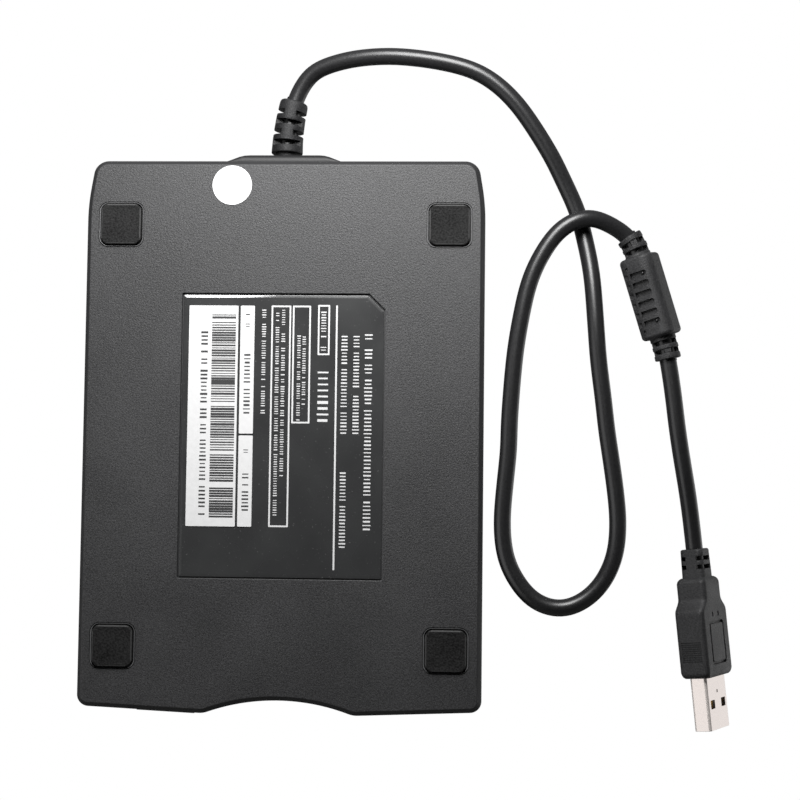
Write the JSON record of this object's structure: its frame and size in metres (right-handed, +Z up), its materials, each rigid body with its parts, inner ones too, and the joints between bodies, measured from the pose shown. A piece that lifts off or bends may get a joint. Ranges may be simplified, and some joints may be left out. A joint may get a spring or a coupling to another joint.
{
  "type": "external floppy disk drive",
  "caption": "Slim flat drive for 90 mm disks: slotted front with dust door and eject button, loading and reading mechanism inside, rubber feet, fixed lead with moulded bead and plug.",
  "frame": {"origin": "on the plane of the four feet, at the middle of the case's width and at the middle of its depth from the eject button to the rear boss", "axes": "+Z up, out of the top cover; -Y out of the disk slot, along which the disk and the eject button come out; +X to the right seen from the front"},
  "size_m": [0.1686, 0.176, 0.0184],
  "materials": {
    "moulded_abs_charcoal": "moulded, fine matt grain",
    "moulded_abs_black": "moulded, fine matt grain",
    "rubber_black": "matt",
    "label_film_satin": "satin film",
    "paper_white": "matt coated paper",
    "pvc_black": "satin extruded sheath",
    "pvc_matte_black": "moulded, matt",
    "nickel_plated_steel": "bright plated",
    "plug_insulator_white": "moulded, satin",
    "zinc_plated_steel": "zinc plated sheet",
    "cast_aluminium": "die cast",
    "spring_steel": "drawn wire",
    "sintered_bronze": "sintered",
    "enamelled_copper": "enamelled wire",
    "circuit_board_green": "solder mask",
    "chip_epoxy": "moulded epoxy",
    "clear_acrylic": "clear tinted, polished",
    "acetal_black": "moulded, smooth",
    "head_ceramic": "lapped ceramic",
    "ribbon_film_white": "polyester film"
  },
  "bodies": {
    "case": {"top_cover": "moulded_abs_charcoal", "bottom_cover": "moulded_abs_charcoal", "front_bezel": "moulded_abs_black", "dust_door_spring": "spring_steel", "activity_light": "clear_acrylic", "activity_lamp": "plug_insulator_white", "foot_front_left": "rubber_black", "foot_front_right": "rubber_black", "foot_rear_left": "rubber_black", "foot_rear_right": "rubber_black", "case_screw_front_left": "zinc_plated_steel", "case_screw_front_right": "zinc_plated_steel", "case_screw_rear_left": "zinc_plated_steel", "case_screw_rear_right": "zinc_plated_steel", "rating_label": "label_film_satin", "sticker_barcode": "paper_white", "sticker_upper": "paper_white", "sticker_lower": "paper_white", "sticker_round": "paper_white", "drive_chassis": "cast_aluminium", "upper_shield": "zinc_plated_steel", "slide_spring_left": "spring_steel", "slide_spring_right": "spring_steel", "spindle_motor_board": "circuit_board_green", "spindle_stator": "enamelled_copper", "spindle_bearing": "sintered_bronze", "stepper_motor": "zinc_plated_steel", "guide_rod_left": "zinc_plated_steel", "guide_rod_right": "zinc_plated_steel", "controller_board": "circuit_board_green", "controller_chip": "chip_epoxy", "interface_board": "circuit_board_green", "interface_chip": "chip_epoxy", "cable_header": "plug_insulator_white", "ribbon_cable": "ribbon_film_white", "media_switch": "chip_epoxy", "protect_switch": "chip_epoxy", "strain_relief": "pvc_matte_black", "cord": "pvc_black", "ferrite_bead": "pvc_matte_black", "cord_end": "pvc_black", "plug_overmould": "pvc_matte_black", "plug_shell": "nickel_plated_steel", "plug_insulator": "plug_insulator_white"},
    "slide": {"eject_button": "moulded_abs_black", "slide_plate": "zinc_plated_steel"},
    "holder": {"disk_holder": "zinc_plated_steel", "lever_rivet": "zinc_plated_steel"},
    "lever": {"shutter_lever": "zinc_plated_steel"},
    "door": {"dust_door": "moulded_abs_black"},
    "rotor": {"spindle_rotor": "cast_aluminium"},
    "screw": {"lead_screw": "zinc_plated_steel"},
    "carriage": {"head_carriage": "acetal_black", "lower_head": "head_ceramic", "head_arm_pin": "spring_steel"},
    "arm": {"upper_head_arm": "acetal_black", "upper_head": "head_ceramic"},
    "media_sensor": {"media_plunger": "plug_insulator_white"},
    "protect_sensor": {"protect_plunger": "plug_insulator_white"}
  },
  "joints": [
    {"name": "eject_slide", "type": "slide", "parent": "case", "child": "slide", "axis": [0, -1, 0], "range_m": [0, 0.0055], "deforming": ["slide_spring_left", "slide_spring_right"]},
    {"name": "holder_drop", "type": "slide", "parent": "case", "child": "holder", "axis": [0, 0, -1], "range_m": [0, 0.0024]},
    {"name": "head_arm_tilt", "type": "hinge", "parent": "carriage", "child": "arm", "pos_m": [0, 0.04642, 0.011], "axis": [1, 0, 0], "range_deg": [0, 9.6]},
    {"name": "dust_door_hinge", "type": "hinge", "parent": "case", "child": "door", "pos_m": [0, -0.06548, 0.0154], "axis": [1, 0, 0], "range_deg": [0, 85], "stiffness_Nm_per_rad": 0.0002, "springref_deg": -45.84},
    {"name": "shutter_lever_hinge", "type": "hinge", "parent": "holder", "child": "lever", "pos_m": [-0.038, 0.03127, 0.015], "axis": [0, 0, 1], "range_deg": [0, 37], "stiffness_Nm_per_rad": 0.002, "springref_deg": -17.19},
    {"name": "spindle_spin", "type": "hinge", "parent": "case", "child": "rotor", "pos_m": [0, -0.02023, 0.006], "axis": [0, 0, 1], "continuous": true},
    {"name": "carriage_slide", "type": "slide", "parent": "case", "child": "carriage", "axis": [0, -1, 0], "range_m": [0, 0.0148]},
    {"name": "lead_screw_spin", "type": "hinge", "parent": "case", "child": "screw", "pos_m": [0.017, 0.03845, 0.0084], "axis": [0, -1, 0], "range_deg": [0, 1421]},
    {"name": "media_sensor_press", "type": "slide", "parent": "case", "child": "media_sensor", "axis": [0, 0, -1], "range_m": [0, 0.0009], "stiffness_N_per_m": 60, "springref_m": -0.0004},
    {"name": "protect_sensor_press", "type": "slide", "parent": "case", "child": "protect_sensor", "axis": [0, 0, -1], "range_m": [0, 0.0009], "stiffness_N_per_m": 60, "springref_m": -0.0004}
  ],
  "couplings": [
    {"joint": "holder_drop", "follows": "eject_slide", "ratio": 0.43636},
    {"joint": "head_arm_tilt", "follows": "eject_slide", "rad_per_m": 30.46},
    {"joint": "lead_screw_spin", "follows": "carriage_slide", "rad_per_m": 1675.5}
  ]
}
